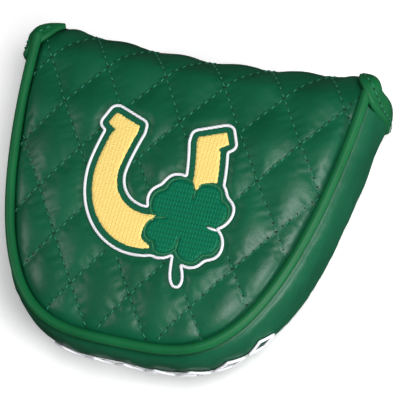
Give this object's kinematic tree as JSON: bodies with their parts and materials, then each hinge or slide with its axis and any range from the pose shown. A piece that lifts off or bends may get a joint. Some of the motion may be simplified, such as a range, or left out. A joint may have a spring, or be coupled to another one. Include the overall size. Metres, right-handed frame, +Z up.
{
  "type": "putter head cover",
  "caption": "Padded D-shaped mallet putter head cover with quilted leather panel, piped seams, horseshoe emblem and a magnetic front flap.",
  "frame": {"origin": "bottom centre of the closed cover's bounding box, on the surface that it lies on", "axes": "+Z up through the decorated panel, +X along the straight front edge to the right, +Y out of the front mouth"},
  "size_m": [0.1344, 0.1155, 0.042],
  "materials": {
    "green_leather": "smooth fine-grained coated leather, semi-gloss, dark green",
    "green_tape": "smooth satin binding tape, mid green",
    "gold_thread": "gold rayon fill stitch",
    "white_thread": "white satin stitch",
    "emerald_thread": "emerald rayon fill stitch",
    "border_thread": "green satin stitch",
    "padding_foam": "soft open-cell foam",
    "lining_fleece": "brushed black fleece",
    "piping_cord": "twisted cotton cord",
    "tongue_board": "flexible plastic board",
    "magnet_steel": "nickel-plated disc"
  },
  "bodies": {
    "shell": {"top_panel_leather": "green_leather", "top_panel_padding": "padding_foam", "top_panel_lining": "lining_fleece", "gusset_leather": "green_leather", "gusset_padding": "padding_foam", "gusset_lining": "lining_fleece", "pocket_leather": "green_leather", "pocket_padding": "padding_foam", "pocket_lining": "lining_fleece", "pocket_mouth_binding": "green_tape", "pocket_magnet_left": "magnet_steel", "pocket_magnet_right": "magnet_steel", "top_piping_cover": "green_tape", "top_piping_cord": "piping_cord", "bottom_piping_cover": "green_tape", "bottom_piping_cord": "piping_cord", "corner_binding_left": "green_tape", "corner_binding_right": "green_tape", "embroidery_backing": "green_leather", "white_outline_embroidery": "white_thread", "horseshoe_embroidery_left": "gold_thread", "horseshoe_embroidery_right": "gold_thread", "clover_border_embroidery": "border_thread", "clover_embroidery": "emerald_thread", "side_motif_embroidery": "white_thread"},
    "flap": {"flap_leather": "green_leather", "flap_padding": "padding_foam", "flap_lining": "lining_fleece", "flap_left_binding": "green_tape", "flap_right_binding": "green_tape"},
    "tongue": {"tongue_leather": "green_leather", "tongue_board": "tongue_board", "tongue_lining": "lining_fleece", "tongue_edge_binding": "green_tape", "tongue_magnet_left": "magnet_steel", "tongue_magnet_right": "magnet_steel"}
  },
  "joints": [
    {"name": "flap_hinge", "type": "hinge", "parent": "shell", "child": "flap", "pos_m": [0, 0.0443, 0.036], "axis": [1, 0, 0], "range_deg": [0, 110]},
    {"name": "tongue_hinge", "type": "hinge", "parent": "flap", "child": "tongue", "pos_m": [0, 0.0546, 0.0005], "axis": [1, 0, 0], "range_deg": [0, 85]}
  ]
}
